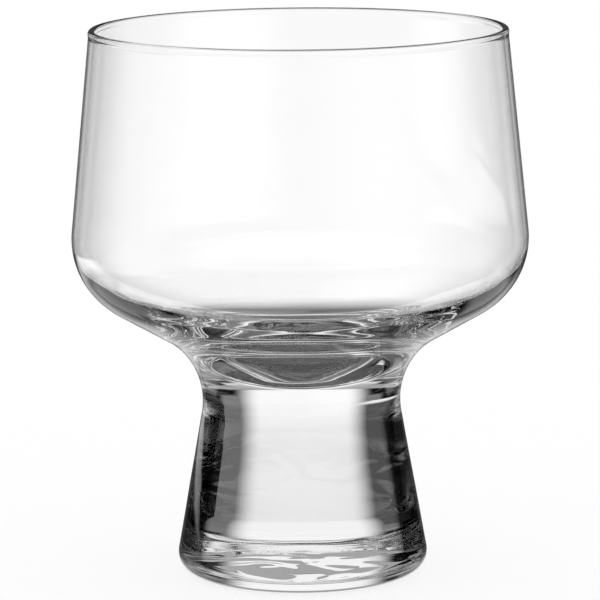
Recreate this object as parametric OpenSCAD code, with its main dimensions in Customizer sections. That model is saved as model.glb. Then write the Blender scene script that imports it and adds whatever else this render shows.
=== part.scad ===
// Squat footed cocktail glass: a thin blown bowl fused onto a solid pressed foot.
// Both pieces are turned round the Z axis from outlines of [radius, height] points.
// The glass stands on z = 0, and its axis is the Z axis.

/* [Overall] */
// Height from the table to the top of the rim
glass_h = 110; // [98:1:124]

/* [Bowl] */
// Outside diameter that the side wall reaches at the rim
rim_d = 83.4; // [78:0.2:88]
// Outside diameter at which the side wall and the underside would meet in a sharp corner
shoulder_d = 93.4; // [89:0.2:99]
// Height of that sharp corner above the seam at the neck
shoulder_rise = 24.2; // [20:0.2:31]
// Radius that rounds the outside of the shoulder
shoulder_round = 16.2; // [12:0.2:18]
// Thickness of the side wall
side_wall = 1.2; // [0.9:0.05:1.8]
// Thickness by which the floor is deeper than the underside at the shoulder
floor_wall = 1.1; // [0.7:0.1:2.2]
// Radius that rounds the inside of the shoulder
inner_round = 12.4; // [10:0.2:14.6]
// Thickness of the glass between the seam and the lowest point inside the bowl
floor_t = 6; // [3.4:0.2:10]
// Radius of the round dish in the middle of the floor
dish_round = 24; // [12:0.5:34]
// How far the round bead that fire polishing leaves on the rim stands out from both faces of the wall
bead_proud = 0.15; // [0.06:0.01:0.4]
// Radius of the hollow curves that run the bead out into the wall
bead_blend = 4; // [2:0.2:8]

/* [Neck] */
// Diameter at the narrowest place, where bowl and foot are fused
neck_d = 39.8; // [34:0.2:44]
// Height of that place above the table
neck_h = 35; // [28:0.5:42]
// Radius of the hollow curve round the neck
neck_round = 15.2; // [10:0.2:18]

/* [Foot] */
// Diameter at which the side of the foot and the table would meet in a sharp corner
foot_d = 51.8; // [46:0.2:58]
// Radius that rounds the lower edge of the foot
edge_round = 4; // [2:0.1:6]
// Width of the flat ring that the glass rests on
rest_w = 1.4; // [0.8:0.1:3]
// Depth of the shallow hollow under the foot
punt_depth = 1.2; // [0.5:0.1:2.5]

/* [Hidden] */

// How far the straight stretches that stand for a curve may lie inside it
curve_error = 0.008;
// Facets of a full turn
$fn = 120;

bead_r = side_wall / 2 + bead_proud;
neck_r = neck_d / 2;

// Sharp corners of the outline, and the centres of its arcs
outer_rim = [rim_d / 2, glass_h - bead_r];
outer_shoulder = [shoulder_d / 2, neck_h + shoulder_rise];
neck_centre = [neck_r + neck_round, neck_h];
foot_corner = [foot_d / 2, 0];
inner_rim = outer_rim - [side_wall, 0];
bead_centre = (outer_rim + inner_rim) / 2;
inner_shoulder = outer_shoulder + [-side_wall, floor_wall];
dish_centre = [0, neck_h + floor_t + dish_round];

// The directions, from the centre of an arc, in which the straight stretches touch it
underside_turn = touching_turn(outer_shoulder, neck_centre, neck_round, 1);
flank_turn = touching_turn(foot_corner, neck_centre, neck_round, -1);
dish_turn = touching_turn(inner_shoulder, dish_centre, dish_round, -1);

underside_start = on_circle(neck_centre, neck_round, underside_turn);
flank_start = on_circle(neck_centre, neck_round, flank_turn);
dish_edge = on_circle(dish_centre, dish_round, dish_turn);

// The flat ring starts where the rounded lower edge reaches the table
edge_centre = round_centre(flank_start, foot_corner, [0, 0], edge_round);
punt_r = edge_centre.x - rest_w;
punt_round = (punt_r ^ 2 + punt_depth ^ 2) / (2 * punt_depth);
punt_centre = [0, punt_depth - punt_round];

function unit(v) = v / norm(v);

function heading(v) = atan2(v.y, v.x);

function on_circle(centre, radius, turn) = centre + radius * [cos(turn), sin(turn)];

// Direction from the centre to the place where a line through the point touches the circle,
// on the side that is anticlockwise of the point, 1, or clockwise of it, -1
function touching_turn(point, centre, radius, side) =
    heading(point - centre) + side * acos(radius / norm(point - centre));

// Centre of the arc that rounds the corner between the lines to before and to after
function round_centre(before, corner, after, radius) =
    let (u = unit(before - corner), v = unit(after - corner))
    corner + unit(u + v) * radius / sin(acos(u * v) / 2);

// Foot of the perpendicular from a point to the line through from and to
function nearest_on_line(point, from, to) =
    let (u = unit(to - from))
    from + u * ((point - from) * u);

// Turn in degrees from one direction to another, the short way round
function swing(from_turn, to_turn) =
    let (turn = to_turn - from_turn)
    turn > 180 ? turn - 360 : turn < -180 ? turn + 360 : turn;

// Points along an arc that swings from one direction by so many degrees
function swept_points(centre, radius, from_turn, whole) =
    let (steps = ceil(abs(whole) / (2 * acos(1 - curve_error / radius))))
    [for (i = [0:steps]) on_circle(centre, radius, from_turn + whole * i / steps)];

// Points along the shorter arc between two directions
function arc_points(centre, radius, from_turn, to_turn) =
    swept_points(centre, radius, from_turn, swing(from_turn, to_turn));

// Points of the arc that runs the bead out into a face of the wall, from the bead downwards
function blend_points(rim, shoulder) =
    let (
        near = nearest_on_line(bead_centre, rim, shoulder),
        sunk = norm(near - bead_centre),
        drop = sqrt((bead_r + bead_blend) ^ 2 - (bead_blend + sunk) ^ 2),
        centre = near + unit(near - bead_centre) * bead_blend + unit(shoulder - rim) * drop
    )
    arc_points(centre, bead_blend, heading(bead_centre - centre), heading(bead_centre - near));

function reversed(points) = [for (i = [len(points) - 1:-1:0]) points[i]];

function without_ends(points) = [for (i = [1:len(points) - 2]) points[i]];

// Points of the arc that rounds a corner, from the line before it to the line after it
function rounded_corner(before, corner, after, radius) =
    let (centre = round_centre(before, corner, after, radius))
    arc_points(
        centre, radius,
        heading(nearest_on_line(centre, before, corner) - centre),
        heading(nearest_on_line(centre, after, corner) - centre)
    );

// Arcs that run the bead out into the outer and the inner face of the wall
outer_blend = blend_points(outer_rim, outer_shoulder);
inner_blend = blend_points(inner_rim, inner_shoulder);

// The bead goes clockwise over the top, from where the inner arc touches it to where the outer does
bead_start = heading(inner_blend[0] - bead_centre);
bead_end = heading(outer_blend[0] - bead_centre);
bead = swept_points(bead_centre, bead_r, bead_start, swing(bead_start, bead_end) - 360);

// Outside of the bowl down to the seam, its inside from the dish up, then the bead over the rim
bowl_outline = [
    each outer_blend,
    each rounded_corner(outer_rim, outer_shoulder, underside_start, shoulder_round),
    each arc_points(neck_centre, neck_round, underside_turn, 180),
    [0, neck_h],
    each arc_points(dish_centre, dish_round, -90, dish_turn),
    each rounded_corner(dish_edge, inner_shoulder, inner_rim, inner_round),
    each reversed(inner_blend),
    each without_ends(bead)
];

// Side of the foot from the seam down to the table, then the ring and the hollow underneath
foot_outline = [
    [0, neck_h],
    each arc_points(neck_centre, neck_round, 180, flank_turn),
    each rounded_corner(flank_start, foot_corner, [0, 0], edge_round),
    each arc_points(punt_centre, punt_round, heading([punt_r, 0] - punt_centre), 90)
];

// Thin bowl with its fire-polished rim and its thick, dished floor
module bowl()
    color("aliceblue", 0.4)
        rotate_extrude() polygon(bowl_outline);

// Solid flared foot with a rounded lower edge and a hollow that leaves a ring to stand on
module foot()
    color("lightsteelblue", 0.6)
        rotate_extrude() polygon(foot_outline);

bowl();
foot();
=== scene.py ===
import cmath
import math

import bpy
from mathutils import Euler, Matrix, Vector, noise


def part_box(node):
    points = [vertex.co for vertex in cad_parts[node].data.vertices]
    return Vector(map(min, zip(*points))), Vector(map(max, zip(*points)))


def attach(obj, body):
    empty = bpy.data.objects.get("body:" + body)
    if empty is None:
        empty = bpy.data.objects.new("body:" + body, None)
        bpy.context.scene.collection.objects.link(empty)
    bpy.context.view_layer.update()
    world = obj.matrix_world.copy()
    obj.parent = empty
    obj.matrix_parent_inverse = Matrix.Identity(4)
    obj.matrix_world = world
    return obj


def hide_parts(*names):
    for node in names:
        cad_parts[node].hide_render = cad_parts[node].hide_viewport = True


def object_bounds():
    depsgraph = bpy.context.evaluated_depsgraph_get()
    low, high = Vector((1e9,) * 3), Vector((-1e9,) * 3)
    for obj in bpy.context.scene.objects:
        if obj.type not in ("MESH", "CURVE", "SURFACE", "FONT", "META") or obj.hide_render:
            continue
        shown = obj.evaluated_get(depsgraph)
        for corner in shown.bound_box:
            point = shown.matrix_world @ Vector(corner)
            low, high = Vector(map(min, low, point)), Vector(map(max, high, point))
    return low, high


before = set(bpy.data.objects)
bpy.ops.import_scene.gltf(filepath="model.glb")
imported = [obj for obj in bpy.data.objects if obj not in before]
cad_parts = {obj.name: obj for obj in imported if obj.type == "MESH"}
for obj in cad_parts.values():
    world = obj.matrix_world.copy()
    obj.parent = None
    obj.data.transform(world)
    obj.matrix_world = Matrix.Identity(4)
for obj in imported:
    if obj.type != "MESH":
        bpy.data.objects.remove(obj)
CAD_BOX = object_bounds()

# Lengths are in metres unless a comment says otherwise
MM = 0.001
HALF_TURN_DEG = 180
PHOTO_PX = 600

# The camera, worked out from the outline of the glass and the ellipses of its rim and foot. The width
# of its sensor is in millimetres, and the focal length in pixels of the photograph.
CAMERA_DISTANCE = 817.8 * MM
CAMERA_HEIGHT = 193.6 * MM
CAMERA_DOWN_DEG = 9.612
CAMERA_ROLL_DEG = -0.489
CAMERA_SEES_TO = 50.0
SENSOR = 36.0
FOCAL_PX = 4131.8
AXIS_AT_PX = 300.7

# Sizes of the glass, as the CAD model has them
GLASS_H = CAD_BOX[1].z
NECK_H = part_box("foot")[1].z
RIM_R = 41.7 * MM
SHOULDER_R = 46.7 * MM
SHOULDER_H = NECK_H + 24.2 * MM
SHOULDER_ROUND = 16.2 * MM
SIDE_WALL = 1.2 * MM
FLOOR_WALL = 1.1 * MM
INNER_ROUND = 12.4 * MM
FLOOR_H = NECK_H + 6.0 * MM
DISH_ROUND = 24.0 * MM
BEAD_PROUD = 0.15 * MM
BEAD_BLEND = 4.0 * MM
BEAD_R = SIDE_WALL / 2 + BEAD_PROUD
NECK_R = 19.9 * MM
NECK_ROUND = 15.2 * MM
FOOT_R = 25.9 * MM
EDGE_ROUND = 4.0 * MM
REST_W = 1.4 * MM
PUNT_DEPTH = 1.2 * MM

# Fineness of the turned meshes
TURNS = 216
ARC_STEP_DEG = 1.0
BEAD_STEP_DEG = 6.0
LINE_STEP = 0.8 * MM
SEAM_RINGS = 12

# Distances below which two points are the same, a point is on the axis, or one is on the seam's edge
SAME_POINT = 1e-9
ON_AXIS = 1e-7
ON_SEAM = 1e-6

# Distances over which the unevenness of the surface dies out next to the seam and the rest ring, and
# up the wall of the bowl from the shoulder
SEAM_CALM = 3.0 * MM
RING_CALM = 3.0 * MM
WALL_CALM = 14.0 * MM

# The soft lumps on the side of the foot, and the finer ripple on them
LUMP_SIZE = 7.0 * MM
LUMP_H = 0.03 * MM
RIPPLE_SIZE = 3.2 * MM
RIPPLE_H = 0.008 * MM
RIPPLE_SHIFT = Vector((9, 4, 2))

# The folds in the hollow under the foot, how far they bend and over what size, and which stretch of
# the pattern shows
FOLD_SIZE = 7.0 * MM
FOLD_DEPTH = 0.25 * MM
FOLD_BEND = 14.0 * MM
FOLD_BEND_SIZE = 9.0 * MM
FOLD_SHIFT = Vector((0.02, 0.01, 0))
BEND_SHIFT = Vector((5, 5, 5))

# The streaks round the bowl on its floor and underneath, and the broader waves that they lie on. The
# more lobes, the more often a streak comes and goes on its way round.
STREAK_SIZE = 2.6 * MM
STREAK_H = 0.012 * MM
STREAK_LOBES = 1.5
WAVE_SIZE = 9.0 * MM
WAVE_H = 0.008 * MM


# Outlines: a point is a complex number, its radius plus its height times i

def sweep(centre, radius, start, turn, step_deg=ARC_STEP_DEG):
    """Points along an arc that turns so far from its start, in radians."""
    steps = max(2, math.ceil(abs(turn) / math.radians(step_deg)))
    return [centre + cmath.rect(radius, start + turn * i / steps) for i in range(steps + 1)]


def arc(centre, radius, start, end):
    """Points along the shorter arc between two directions, in radians."""
    return sweep(centre, radius, start, (end - start + math.pi) % math.tau - math.pi)


def touching(point, centre, radius, side):
    """The direction from the centre to where a line through the point touches the circle.

    That place is anticlockwise of the point for side 1, and clockwise of it for side -1.
    """
    out = point - centre
    return cmath.phase(out) + side * math.acos(radius / abs(out))


def nearest(point, start, end):
    """The foot of the perpendicular from the point to the line from start to end."""
    along = (end - start) / abs(end - start)
    return start + along * ((point - start) * along.conjugate()).real


def round_centre(before, corner, after, radius):
    """The centre of the arc that rounds the corner between the lines to before and to after."""
    u = (before - corner) / abs(before - corner)
    v = (after - corner) / abs(after - corner)
    half = math.acos((u * v.conjugate()).real) / 2
    return corner + (u + v) / abs(u + v) * radius / math.sin(half)


def rounded(before, corner, after, radius):
    """Points of the arc that rounds a corner, from the line before it to the line after it."""
    centre = round_centre(before, corner, after, radius)
    start = cmath.phase(nearest(centre, before, corner) - centre)
    end = cmath.phase(nearest(centre, after, corner) - centre)
    return arc(centre, radius, start, end)


def filled(points):
    """The same outline with its long straight stretches cut into short ones."""
    out = [points[0]]
    for a, b in zip(points, points[1:]):
        if abs(b - a) > SAME_POINT:
            parts = math.ceil(abs(b - a) / LINE_STEP)
            out += [a + (b - a) * i / parts for i in range(1, parts + 1)]
    return out


# Sharp corners of the outlines, and the centres and touching points that both pieces need
NECK_CENTRE = complex(NECK_R + NECK_ROUND, NECK_H)
OUTER_RIM = complex(RIM_R, GLASS_H - BEAD_R)
BEAD = OUTER_RIM - SIDE_WALL / 2
OUTER_SHOULDER = complex(SHOULDER_R, SHOULDER_H)
FOOT_CORNER = complex(FOOT_R, 0)
FLANK_TURN = touching(FOOT_CORNER, NECK_CENTRE, NECK_ROUND, -1)
FLANK_START = NECK_CENTRE + cmath.rect(NECK_ROUND, FLANK_TURN)
EDGE_CENTRE = round_centre(FLANK_START, FOOT_CORNER, 0j, EDGE_ROUND)
PUNT_R = EDGE_CENTRE.real - REST_W


def blended(rim, shoulder):
    """The arc that runs the bead out into a face of the wall, from the bead downwards."""
    near = nearest(BEAD, rim, shoulder)
    sunk = abs(near - BEAD)
    down = (shoulder - rim) / abs(shoulder - rim)
    drop = math.sqrt((BEAD_R + BEAD_BLEND) ** 2 - (BEAD_BLEND + sunk) ** 2)
    centre = near + (near - BEAD) / sunk * BEAD_BLEND + down * drop
    return arc(centre, BEAD_BLEND, cmath.phase(BEAD - centre), cmath.phase(BEAD - near))


def bowl_outlines():
    """The inside from the middle of the floor up over the bead, and the outside down to the seam."""
    inner_rim = OUTER_RIM - SIDE_WALL
    inner_shoulder = OUTER_SHOULDER + complex(-SIDE_WALL, FLOOR_WALL)
    dish = complex(0, FLOOR_H + DISH_ROUND)
    under = touching(OUTER_SHOULDER, NECK_CENTRE, NECK_ROUND, 1)
    under_start = NECK_CENTRE + cmath.rect(NECK_ROUND, under)
    dish_turn = touching(inner_shoulder, dish, DISH_ROUND, -1)
    dish_edge = dish + cmath.rect(DISH_ROUND, dish_turn)
    inside_blend = blended(inner_rim, inner_shoulder)[::-1]
    outside_blend = blended(OUTER_RIM, OUTER_SHOULDER)
    bead_start = cmath.phase(inside_blend[-1] - BEAD)
    over = (cmath.phase(outside_blend[0] - BEAD) - bead_start) % math.tau - math.tau
    inside = arc(dish, DISH_ROUND, -math.pi / 2, dish_turn)
    inside += rounded(dish_edge, inner_shoulder, inner_rim, INNER_ROUND)
    inside += inside_blend
    inside += sweep(BEAD, BEAD_R, bead_start, over, BEAD_STEP_DEG)
    outside = outside_blend
    outside += rounded(OUTER_RIM, OUTER_SHOULDER, under_start, SHOULDER_ROUND)
    outside += arc(NECK_CENTRE, NECK_ROUND, under, math.pi)
    return filled(inside), filled(outside)


def foot_outlines():
    """The side from the seam down to the rest ring, and the underside from there to the middle."""
    side = arc(NECK_CENTRE, NECK_ROUND, math.pi, FLANK_TURN)
    side += rounded(FLANK_START, FOOT_CORNER, 0j, EDGE_ROUND)
    punt_round = (PUNT_R ** 2 + PUNT_DEPTH ** 2) / (2 * PUNT_DEPTH)
    punt = complex(0, PUNT_DEPTH - punt_round)
    hollow = arc(punt, punt_round, cmath.phase(PUNT_R - punt), math.pi / 2)
    return filled(side), filled([side[-1]] + hollow)


def seam_outline():
    """The flat face, from the axis outwards, where bowl and foot are fused."""
    return [complex(NECK_R * i / SEAM_RINGS, NECK_H) for i in range(SEAM_RINGS + 1)]


# Unevenness that forming by hand and mould leaves in the surface, in metres out of the glass

def calm(distance, reach):
    """0 at the place itself, and 1 from the reach onwards."""
    t = min(1.0, max(0.0, distance / reach))
    return t * t * (3 - 2 * t)


def uneven(point, size, height):
    """Soft lumps of about this size and height."""
    return height * noise.noise(point / size)


def side_relief(point):
    """Side of the foot: soft lumps between the seam and the table."""
    lumps = uneven(point, LUMP_SIZE, LUMP_H) + uneven(point + RIPPLE_SHIFT, RIPPLE_SIZE, RIPPLE_H)
    return lumps * calm(abs(point.z - NECK_H), SEAM_CALM) * calm(point.z, RING_CALM)


def hollow_relief(point):
    """Underside of the foot: bent folds in the hollow, none on the ring that it rests on."""
    bend_x = uneven(point, FOLD_BEND_SIZE, FOLD_BEND)
    bend_y = uneven(point + BEND_SHIFT, FOLD_BEND_SIZE, FOLD_BEND)
    folds = uneven(point + Vector((bend_x, bend_y, 0)) + FOLD_SHIFT, FOLD_SIZE, FOLD_DEPTH)
    return folds * calm(PUNT_R - point.xy.length, RING_CALM)


def streaks(point):
    """Ridges that run round the axis, and that come and go on their way round."""
    round_axis = point.xy.normalized() * STREAK_LOBES
    across = (point.xy.length + point.z) / STREAK_SIZE
    return STREAK_H * noise.noise(Vector((across, round_axis.x, round_axis.y)))


def inside_relief(point):
    """Inside of the bowl: streaks of its spinning on the floor and shoulder, dying out up the wall."""
    fine = streaks(point) + uneven(point, WAVE_SIZE, WAVE_H)
    return fine * (1 - calm(point.z - SHOULDER_H, WALL_CALM))


def outside_relief(point):
    """Outside of the bowl: streaks of the same kind, dying out at the seam too."""
    return inside_relief(point) * calm(abs(point.z - NECK_H), SEAM_CALM)


def no_relief(point):
    """The seam, which is flat."""
    return 0.0


# Turned meshes, and the places of their glasses in a piece's list of materials

GLASS, SEAM, INNER = 0, 1, 2


def outward(points, i):
    """The direction out of the glass, which lies on the left of the outline's travel."""
    along = points[min(i + 1, len(points) - 1)] - points[max(i - 1, 0)]
    return along / abs(along) * 1j


def ring_at(point, normal, relief):
    """One turn of the outline's point round the axis, or a single point on it."""
    if point.real < ON_AXIS:
        lift = relief(Vector((0, 0, point.imag)))
        return [(0, 0, point.imag + lift * normal.imag)]
    ring = []
    for k in range(TURNS):
        turn = cmath.rect(1, math.tau * k / TURNS)
        spot = Vector((point.real * turn.real, point.real * turn.imag, point.imag))
        moved = point + normal * relief(spot)
        ring.append((moved.real * turn.real, moved.real * turn.imag, moved.imag))
    return ring


def turned(name, stretches, materials):
    """A closed mesh turned round Z from stretches of (points, place of their glass, relief).

    Each stretch starts where the one before it ends.
    """
    verts, faces, places, rings = [], [], [], []
    for points, place, relief in stretches:
        for i, point in enumerate(points):
            if rings and i == 0:
                rings[-1] = (*rings[-1][:2], place)
                continue
            ring = ring_at(point, outward(points, i), relief)
            rings.append((len(verts), len(ring), place))
            verts += ring
    for (a, a_count, place), (b, b_count, _) in zip(rings, rings[1:]):
        for k in range(TURNS):
            n = (k + 1) % TURNS
            if a_count == 1:
                faces.append((a, b + k, b + n))
            elif b_count == 1:
                faces.append((a + k, b, a + n))
            else:
                faces.append((a + k, b + k, b + n, a + n))
            places.append(place)
    mesh = bpy.data.meshes.new(name)
    mesh.from_pydata(verts, [], faces)
    mesh.polygons.foreach_set("material_index", places)
    mesh.polygons.foreach_set("use_smooth", [True] * len(faces))
    smooth_into_seam(mesh)
    for material in materials:
        mesh.materials.append(material)
    piece = bpy.data.objects.new(name, mesh)
    bpy.context.scene.collection.objects.link(piece)
    return piece


def smooth_into_seam(mesh):
    """Level normals where the side reaches the seam, so that the next piece carries straight on."""
    normals = [(0, 0, 0)] * len(mesh.loops)
    for face in mesh.polygons:
        for i in face.loop_indices:
            spot = mesh.vertices[mesh.loops[i].vertex_index].co
            at_seam = abs(spot.z - NECK_H) < ON_SEAM and abs(spot.xy.length - NECK_R) < ON_SEAM
            if face.material_index == SEAM:
                normals[i] = face.normal[:]
            elif at_seam:
                normals[i] = Vector((spot.x, spot.y, 0)).normalized()[:]
    mesh.normals_split_custom_set(normals)


# Materials

WHITE = (1, 1, 1, 1)
GLASS_IOR = 1.5

# Shares of the light that a glass lets through, as stops of (how far its face turns away, share). Where the
# blown and pressed stops fall towards the outline, they are painted shade that darkens the glass's colour
# at its edges.
CLEAR = [(0.0, 1.0), (1.0, 1.0)]
BLOWN_PAINTED_DARK_EDGE = [(0.0, 1.0), (0.79, 1.0), (0.86, 0.10), (1.0, 0.02)]
PRESSED_PAINTED_DARK_EDGE = [(0.0, 0.94), (0.36, 0.94), (0.43, 0.02), (1.0, 0.02)]

# Heights at which the stops hold: they fade in from the first to the second, and out from the third
# to the fourth. The last two may lie above all of the glass.
ABOVE_ALL = (0.5, 1.0)
ALL_HEIGHTS = (-1.0, -0.5, *ABOVE_ALL)
BLOWN_PAINTED_EDGE_HEIGHTS = (50.0 * MM, 56.0 * MM, *ABOVE_ALL)
PRESSED_PAINTED_EDGE_HEIGHTS = (2.0 * MM, 7.0 * MM, 32.0 * MM, 35.5 * MM)


class Wiring:
    """Short ways to add nodes to a node tree. A value is a number, a colour or another node's output."""

    def __init__(self, tree):
        self.tree = tree

    def add(self, kind):
        """A new node of this kind."""
        return self.tree.nodes.new("ShaderNode" + kind)

    def feed(self, socket, value):
        """Gives the value to the socket."""
        if isinstance(value, bpy.types.NodeSocket):
            self.tree.links.new(value, socket)
        else:
            socket.default_value = value

    def math(self, operation, *values):
        """The result of the operation on these values."""
        node = self.add("Math")
        node.operation = operation
        for socket, value in zip(node.inputs, values):
            self.feed(socket, value)
        return node.outputs[0]

    def fade(self, value, start, end, low=0.0, high=1.0):
        """A smooth step from low at start to high at end."""
        node = self.add("MapRange")
        node.interpolation_type = "SMOOTHSTEP"
        names = ("Value", "From Min", "From Max", "To Min", "To Max")
        if start > end:
            start, end, low, high = end, start, high, low
        for socket, number in zip(names, (value, start, end, low, high)):
            self.feed(node.inputs[socket], number)
        return node.outputs[0]

    def blend(self, share, first, second):
        """The first number at share 0, and the second at share 1."""
        node = self.add("Mix")
        for socket, value in zip(("Factor", "A", "B"), (share, first, second)):
            self.feed(node.inputs[socket], value)
        return node.outputs[0]

    def blend_colours(self, share, first, second):
        """The first colour at share 0, and the second at share 1."""
        node = self.add("Mix")
        node.data_type = "RGBA"
        self.feed(node.inputs["Factor"], share)
        colours = [socket for socket in node.inputs if socket.type == "RGBA"]
        for socket, value in zip(colours, (first, second)):
            self.feed(socket, value)
        return [socket for socket in node.outputs if socket.type == "RGBA"][0]

    def blend_shaders(self, share, first, second):
        """The first shader at share 0, and the second at share 1."""
        node = self.add("MixShader")
        for socket, value in zip(node.inputs, (share, first, second)):
            self.feed(socket, value)
        return node.outputs[0]

    def place(self, kind):
        """The x, y and z of the texture coordinate of this kind."""
        split = self.add("SeparateXYZ")
        self.feed(split.inputs[0], self.add("TexCoord").outputs[kind])
        return split.outputs

    def path(self, kind):
        """What is known of this kind about the light's path."""
        return self.add("LightPath").outputs[kind]

    def path_count(self, kind, least):
        """1 where the count of this kind along the light's path is at least so many, and 0 elsewhere."""
        return self.math("GREATER_THAN", self.path(kind), least - 0.5)

    def glow(self, level):
        """The shader of a white light of this level."""
        node = self.add("Emission")
        self.feed(node.inputs["Color"], WHITE)
        self.feed(node.inputs["Strength"], level)
        return node.outputs[0]

    def clear(self):
        """The shader of what doesn't show."""
        return self.add("BsdfTransparent").outputs[0]


def new_material(name):
    """An empty material, the wiring of its nodes, and the socket that takes its shader."""
    material = bpy.data.materials.new(name)
    material.use_nodes = True
    material.node_tree.nodes.clear()
    wire = Wiring(material.node_tree)
    return material, wire, wire.add("OutputMaterial").inputs["Surface"]


def glass_material(name, stops, heights):
    """Glass that lets light through by the stops at these heights, and by the first of them elsewhere.
    Where the stops fall, they paint shade into its colour towards its outline.
    """
    material, wire, surface = new_material(name)
    ramp = wire.add("ValToRGB")
    set_stops(ramp, stops)
    wire.feed(ramp.inputs["Fac"], wire.add("LayerWeight").outputs["Facing"])
    _, _, height = wire.place("Object")
    fade_in = wire.fade(height, heights[0], heights[1])
    fade_out = wire.fade(height, heights[3], heights[2])
    share = wire.math("MULTIPLY", fade_in, fade_out)
    first = grey(stops[0][1])
    glass = wire.add("BsdfPrincipled")
    # Painted shade: the ramp darkens the glass's colour where its face turns away, so that its outline
    # shows dark
    wire.feed(glass.inputs["Base Color"], wire.blend_colours(share, first, ramp.outputs["Color"]))
    wire.feed(glass.inputs["Roughness"], 0.0)
    wire.feed(glass.inputs["IOR"], GLASS_IOR)
    wire.feed(glass.inputs["Transmission Weight"], 1.0)
    wire.feed(surface, glass.outputs["BSDF"])
    return material


def grey(level):
    return (level, level, level, 1)


def set_stops(ramp, stops):
    elements = ramp.color_ramp.elements
    while len(elements) < len(stops):
        elements.new(1.0)
    for element, (place, level) in zip(elements, stops):
        element.position = place
        element.color = grey(level)


def seam_material():
    """The fused seam, which doesn't show."""
    material, wire, surface = new_material("fused_seam")
    wire.feed(surface, wire.clear())
    return material


# Studio: what the glass shows by reflection and refraction. Turns are clockwise as seen from above,
# from the direction behind the glass in the photograph. Rises are above the horizon. Both in degrees.

ALL_ROUND = (0, 200, 201)
NO_LOWER_EDGE = (-95, -91)
NO_UPPER_EDGE = (90, 95)

# Each panel has the turn of its middle, and how far to both sides of it the panel is full and gone,
# then the rises at which it starts, is full from, is full to and ends, and then its level
PANELS = {
    "bright wall behind": ((-1, 17, 33), (-50, -17, 15, 17), 1.02),
    "dim wall on both sides of it": ((0, 38, 44), (-14, -8, 2, 6), 0.20),
    "wall above it": ((0, 60, 80), (15, 17, 40, 60), 0.42),
    "table behind on the right": ((20, 20.5, 21.5), (*NO_LOWER_EDGE, -10, -6), 0.16),
    "table behind on the left": ((-20, 24, 40), (*NO_LOWER_EDGE, -10, -6), 0.09),
    "white table behind on the left": ((-45, 9, 18), (*NO_LOWER_EDGE, -37, -33), 1.0),
    "table all round": (ALL_ROUND, (*NO_LOWER_EDGE, -60, -48), 0.27),
    "table right under the glass": (ALL_ROUND, (*NO_LOWER_EDGE, -70, -60), 0.9),
    "strip on the left": ((-90, 5, 30), (-24, -19, 3, 8), 0.8),
    "soft light at the right front": ((135, 8, 50), (*NO_LOWER_EDGE, 9, 19), 0.9),
    "dark room in front": ((180, 70, 90), (-60, -50, 30, 36), 0.08),
    "ceiling in front": ((180, 75, 100), (36, 42, *NO_UPPER_EDGE), 0.95),
}

# Panels that show only in what the outside of the glass mirrors
MIRRORED_PANELS = {
    "white table on the left": ((-42, 12, 22), (-42, -36, -24, -17), 1.0),
    "white table on the right": ((42, 12, 22), (-42, -36, -24, -17), 1.0),
}

# The outside of the glass mirrors all of the studio's light up to the first rise, and this share of it
# from the second on, as if black cards stood beside the glass
MIRROR_FULL_TO = -22
MIRROR_LOW_FROM = -12
MIRROR_SHARE = 0.08

# How many faces of glass the light passes that shows through both walls of the bowl, and the share
# that it gains for what the walls take
WALL_FACES = 4
WALL_GAIN = 0.09


def through_walls(wire):
    """1 for light that shows through both walls of the bowl, and 0 for the rest."""
    return wire.path_count("Transmission Depth", WALL_FACES)


def panels_light(wire, turn, rise, panels):
    """The level that these panels have together, the brightest counting where they overlap."""
    light = 0.0
    for (middle, full, gone), (start, full_from, full_to, end), level in panels.values():
        beside = wire.math("WRAP", wire.math("SUBTRACT", turn, middle), HALF_TURN_DEG, -HALF_TURN_DEG)
        panel = wire.fade(wire.math("ABSOLUTE", beside), gone, full, 0.0, level)
        panel = wire.math("MULTIPLY", panel, wire.fade(rise, start, full_from))
        panel = wire.math("MULTIPLY", panel, wire.fade(rise, end, full_to))
        light = wire.math("MAXIMUM", light, panel)
    return light


def make_world():
    """Soft panels that only the glass shows. The camera and all that is matt get even white light."""
    world = bpy.data.worlds.new("studio")
    world.use_nodes = True
    bpy.context.scene.world = world
    world.node_tree.nodes.clear()
    wire = Wiring(world.node_tree)
    x, y, z = wire.place("Generated")
    turn = wire.math("DEGREES", wire.math("ARCTAN2", x, y))
    rise = wire.math("DEGREES", wire.math("ARCSINE", z))
    gain = wire.math("MULTIPLY", through_walls(wire), WALL_GAIN)
    light = wire.math("MULTIPLY", panels_light(wire, turn, rise, PANELS), wire.math("ADD", gain, 1.0))
    share = wire.fade(rise, MIRROR_FULL_TO, MIRROR_LOW_FROM, 1.0, MIRROR_SHARE)
    mirrored = wire.math("MULTIPLY", light, share)
    mirrored = wire.math("MAXIMUM", mirrored, panels_light(wire, turn, rise, MIRRORED_PANELS))
    light = wire.blend(wire.path_count("Transmission Depth", 1), mirrored, light)
    by_glass = wire.math("MAXIMUM", wire.path("Is Glossy Ray"), wire.path("Is Transmission Ray"))
    not_by_matt = wire.math("SUBTRACT", 1.0, wire.path_count("Diffuse Depth", 1))
    shown = wire.blend(wire.math("MULTIPLY", by_glass, not_by_matt), 1.0, light)
    back = wire.add("Background")
    wire.feed(back.inputs["Color"], WHITE)
    wire.feed(back.inputs["Strength"], shown)
    wire.feed(wire.add("OutputWorld").inputs["Surface"], back.outputs[0])


# Stage: flat faces on the table, with corners x + yi

# Half the width of the table, and how far it lies below the glass. The shade and the card lie half as
# far below.
FLOOR_HALF = 6.0
FLOOR_GAP = 0.2 * MM
# How much of the table's white is its own light, which keeps the shadow round the foot faint
LIT_SHARE = 0.8
# How bright the shaded table under the foot is, and how many corners its round edge has
SHADE_LEVEL = 0.08
SHADE_CORNERS = 96

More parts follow.
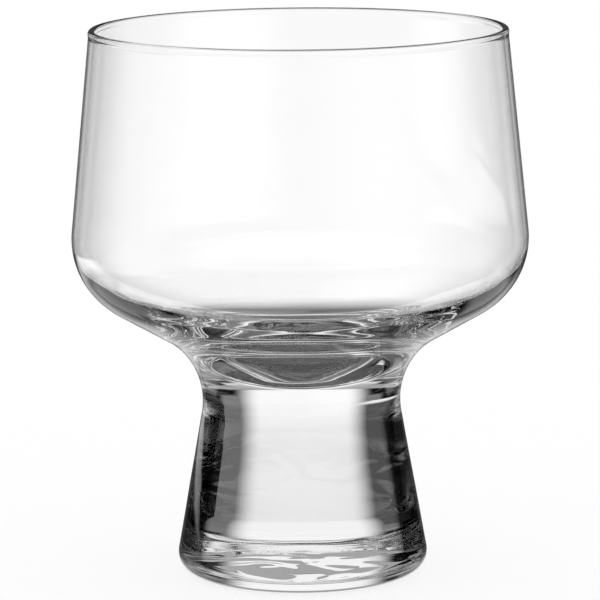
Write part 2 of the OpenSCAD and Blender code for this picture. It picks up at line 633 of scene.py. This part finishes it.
# The white card: its direction from the glass, in degrees anticlockwise from +X, how far off it starts
# and ends, half its width, and the width over which its edges fade
CARD_TURN = 135
CARD_NEAR = 0.05
CARD_FAR = 0.36
CARD_HALF = 0.12
CARD_SOFT = 0.06
# From where on it also shows through less than both walls of the bowl
CARD_FOOT_NEAR = 0.16

# The kinds of rays that what shows only in the glass is hidden from
ALL_BUT_GLASS = ("camera", "diffuse", "shadow")


def oblong(x0, x1, half):
    """The corners of an oblong along the X axis, with half of its width on each side of it."""
    return [complex(x0, -half), complex(x1, -half), complex(x1, half), complex(x0, half)]


def flat_stage(name, corners, z, material, hidden_from):
    """A level face at this height, hidden from rays of these kinds."""
    mesh = bpy.data.meshes.new(name)
    mesh.from_pydata([(c.real, c.imag, z) for c in corners], [], [tuple(range(len(corners)))])
    mesh.materials.append(material)
    thing = bpy.data.objects.new(name, mesh)
    bpy.context.scene.collection.objects.link(thing)
    for rays in hidden_from:
        setattr(thing, "visible_" + rays, False)


def make_floor():
    """The white table. In the glass, the panels show in its place."""
    material, wire, surface = new_material("white_floor")
    matt = wire.add("BsdfDiffuse")
    wire.feed(matt.inputs["Color"], WHITE)
    wire.feed(surface, wire.blend_shaders(LIT_SHARE, matt.outputs[0], wire.glow(1.0)))
    corners = oblong(-FLOOR_HALF, FLOOR_HALF, FLOOR_HALF)
    flat_stage("floor", corners, -FLOOR_GAP, material, ("transmission", "glossy"))


def make_shade():
    """The table right under the foot, in its own shade, as it shows down through the glass."""
    material, wire, surface = new_material("shaded_table")
    wire.feed(surface, wire.glow(SHADE_LEVEL))
    corners = [cmath.rect(EDGE_CENTRE.real, math.tau * i / SHADE_CORNERS) for i in range(SHADE_CORNERS)]
    flat_stage("shade_under_foot", corners, -FLOOR_GAP / 2, material, ALL_BUT_GLASS)


def make_card():
    """A white card on the table behind the bowl as it shows from the right front corner."""
    away = cmath.rect(1, math.radians(CARD_TURN))
    material, wire, surface = new_material("lit_card")
    x, y, _ = wire.place("Object")
    ahead = wire.math("ADD", wire.math("MULTIPLY", x, away.real), wire.math("MULTIPLY", y, away.imag))
    beside = wire.math("SUBTRACT", wire.math("MULTIPLY", y, away.real), wire.math("MULTIPLY", x, away.imag))
    beside = wire.math("ABSOLUTE", beside)
    share = wire.fade(ahead, CARD_NEAR, CARD_NEAR + CARD_SOFT)
    share = wire.math("MULTIPLY", share, wire.fade(ahead, CARD_FAR, CARD_FAR - CARD_SOFT))
    share = wire.math("MULTIPLY", share, wire.fade(beside, CARD_HALF, CARD_HALF - CARD_SOFT))
    far_part = wire.fade(ahead, CARD_FOOT_NEAR, CARD_FOOT_NEAR + CARD_SOFT)
    share = wire.math("MULTIPLY", share, wire.math("MAXIMUM", far_part, through_walls(wire)))
    wire.feed(surface, wire.blend_shaders(share, wire.clear(), wire.glow(1.0)))
    corners = [corner * away for corner in oblong(CARD_NEAR, CARD_FAR, CARD_HALF)]
    flat_stage("white_card", corners, -FLOOR_GAP / 2, material, ALL_BUT_GLASS)


def make_camera():
    """The photograph's camera, in front of the glass on the Y axis."""
    data = bpy.data.cameras.new("camera")
    camera = bpy.data.objects.new("camera", data)
    bpy.context.scene.collection.objects.link(camera)
    data.sensor_width = SENSOR
    data.lens = FOCAL_PX * SENSOR / PHOTO_PX
    data.clip_end = CAMERA_SEES_TO
    camera.location = (0, -CAMERA_DISTANCE, CAMERA_HEIGHT)
    yaw = math.atan((AXIS_AT_PX - PHOTO_PX / 2) / FOCAL_PX)
    pitch = Euler((math.radians(90 - CAMERA_DOWN_DEG), 0, yaw)).to_matrix()
    roll = Euler((0, 0, math.radians(CAMERA_ROLL_DEG))).to_matrix()
    camera.rotation_euler = (pitch @ roll).to_euler()
    bpy.context.scene.camera = camera


# The two pieces

def make_bowl(fused):
    """The blown bowl: its inside and bead, its outside, and its face on the foot."""
    inside, outside = bowl_outlines()
    # The outer glass of the bowl has painted shade that darkens it towards its outline
    blown = glass_material("blown_glass", BLOWN_PAINTED_DARK_EDGE, BLOWN_PAINTED_EDGE_HEIGHTS)
    blown_inside = glass_material("blown_glass_inside", CLEAR, ALL_HEIGHTS)
    stretches = [
        (inside, INNER, inside_relief),
        (outside, GLASS, outside_relief),
        (seam_outline()[::-1], SEAM, no_relief),
    ]
    return turned("bowl_glass", stretches, [blown, fused, blown_inside])


def make_foot(fused):
    """The pressed foot: its face under the bowl, its side, and its hollow underside."""
    side, under = foot_outlines()
    # The foot's glass has painted shade that darkens it almost to black towards its outline
    pressed = glass_material("pressed_glass", PRESSED_PAINTED_DARK_EDGE, PRESSED_PAINTED_EDGE_HEIGHTS)
    stretches = [
        (seam_outline(), SEAM, no_relief),
        (side, GLASS, side_relief),
        (under, GLASS, hollow_relief),
    ]
    return turned("foot_glass", stretches, [pressed, fused])


# How many faces of glass light may pass, and how often it may be mirrored
GLASS_BOUNCES = 32
MIRROR_BOUNCES = 16


def set_bounces():
    """Lets light follow its way through all of the glass."""
    cycles = bpy.context.scene.cycles
    cycles.max_bounces = GLASS_BOUNCES
    cycles.transmission_bounces = GLASS_BOUNCES
    cycles.transparent_max_bounces = GLASS_BOUNCES
    cycles.glossy_bounces = MIRROR_BOUNCES


make_camera()
make_world()
make_floor()
make_shade()
make_card()
set_bounces()
bpy.context.scene.view_settings.view_transform = "Standard"

fused = seam_material()
for node, piece in (("bowl", make_bowl(fused)), ("foot", make_foot(fused))):
    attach(piece, "root")
    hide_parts(node)
